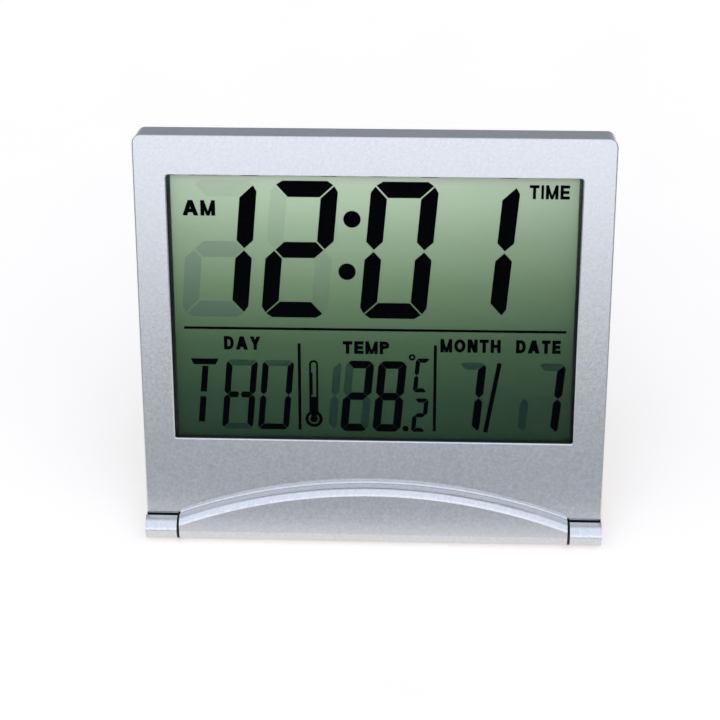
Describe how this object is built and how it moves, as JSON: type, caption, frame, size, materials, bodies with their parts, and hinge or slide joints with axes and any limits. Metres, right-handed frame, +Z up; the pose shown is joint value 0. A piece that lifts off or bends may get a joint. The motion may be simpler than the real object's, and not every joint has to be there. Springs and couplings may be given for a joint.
{
  "type": "folding digital desk clock",
  "caption": "Slim liquid crystal desk clock leaning back on a hinged flip cover that folds up over the face from an arched boss, with keys and a coin cell cap behind.",
  "frame": {"origin": "middle of the footprint, on the table under the clock", "axes": "+Z up, +X to the right as the face is read, -Y out of the front, +Y towards the cover's free edge"},
  "size_m": [0.1126, 0.1012, 0.0958],
  "materials": {
    "silver_shell": "silver paint with a fine metallic grain, satin",
    "clear_lens": "clear acrylic, polished",
    "black_frame": "matt black",
    "lcd_face": "grey-green reflective display face",
    "glass_plate": "clear glass",
    "reflector": "pearl grey-green reflector film",
    "black_rubber": "matt",
    "board_green": "green solder mask",
    "black_resin": "black epoxy",
    "steel": "bright steel",
    "brass": "plain brass",
    "ceramic": "silvered ceramic",
    "component": "brown ceramic chip parts",
    "key_grey": "moulded grey keys, satin",
    "wire": "PVC insulation"
  },
  "bodies": {
    "clock": {"front_case": "silver_shell", "rear_cover": "silver_shell", "window_lens": "clear_lens", "lcd_bezel": "black_frame", "front_polariser": "lcd_face", "lcd_front_glass": "glass_plate", "lcd_rear_glass": "glass_plate", "lcd_reflector": "reflector", "connector_strip": "black_rubber", "circuit_board": "board_green", "clock_chip": "black_resin", "quartz_crystal": "steel", "thermistor": "black_resin", "board_components": "component", "switch_bodies": "black_frame", "buzzer_disc": "brass", "buzzer_ceramic": "ceramic", "buzzer_leads": "wire", "coin_cell": "steel", "positive_contact": "steel", "negative_contact": "steel", "case_screws": "steel"},
    "cover": {"flip_cover": "silver_shell", "left_hinge_pin": "steel", "right_hinge_pin": "steel", "cover_pads": "black_rubber"},
    "cap": {"battery_cap": "silver_shell"},
    "snooze_key": {"snooze_key": "key_grey"},
    "down_key": {"down_key": "key_grey"},
    "up_key": {"up_key": "key_grey"},
    "set_key": {"set_key": "key_grey"},
    "mode_key": {"mode_key": "key_grey"}
  },
  "joints": [
    {"name": "cover_hinge", "type": "hinge", "parent": "clock", "child": "cover", "pos_m": [0, -0.04761, 0.003], "axis": [-1, 0, 0], "range_deg": [0, 288.48]},
    {"name": "cap_twist", "type": "hinge", "parent": "clock", "child": "cap", "pos_m": [0, -0.03179, 0.01928], "axis": [0, 0.9397, -0.342], "range_deg": [0, 50]},
    {"name": "snooze_press", "type": "slide", "parent": "clock", "child": "snooze_key", "axis": [0, -0.9397, 0.342], "range_m": [0, 0.00035], "stiffness_N_per_m": 2000},
    {"name": "down_press", "type": "slide", "parent": "clock", "child": "down_key", "axis": [0, -0.9397, 0.342], "range_m": [0, 0.00035], "stiffness_N_per_m": 2000},
    {"name": "up_press", "type": "slide", "parent": "clock", "child": "up_key", "axis": [0, -0.9397, 0.342], "range_m": [0, 0.00035], "stiffness_N_per_m": 2000},
    {"name": "set_press", "type": "slide", "parent": "clock", "child": "set_key", "axis": [0, -0.9397, 0.342], "range_m": [0, 0.00035], "stiffness_N_per_m": 2000},
    {"name": "mode_press", "type": "slide", "parent": "clock", "child": "mode_key", "axis": [0, -0.9397, 0.342], "range_m": [0, 0.00035], "stiffness_N_per_m": 2000}
  ]
}
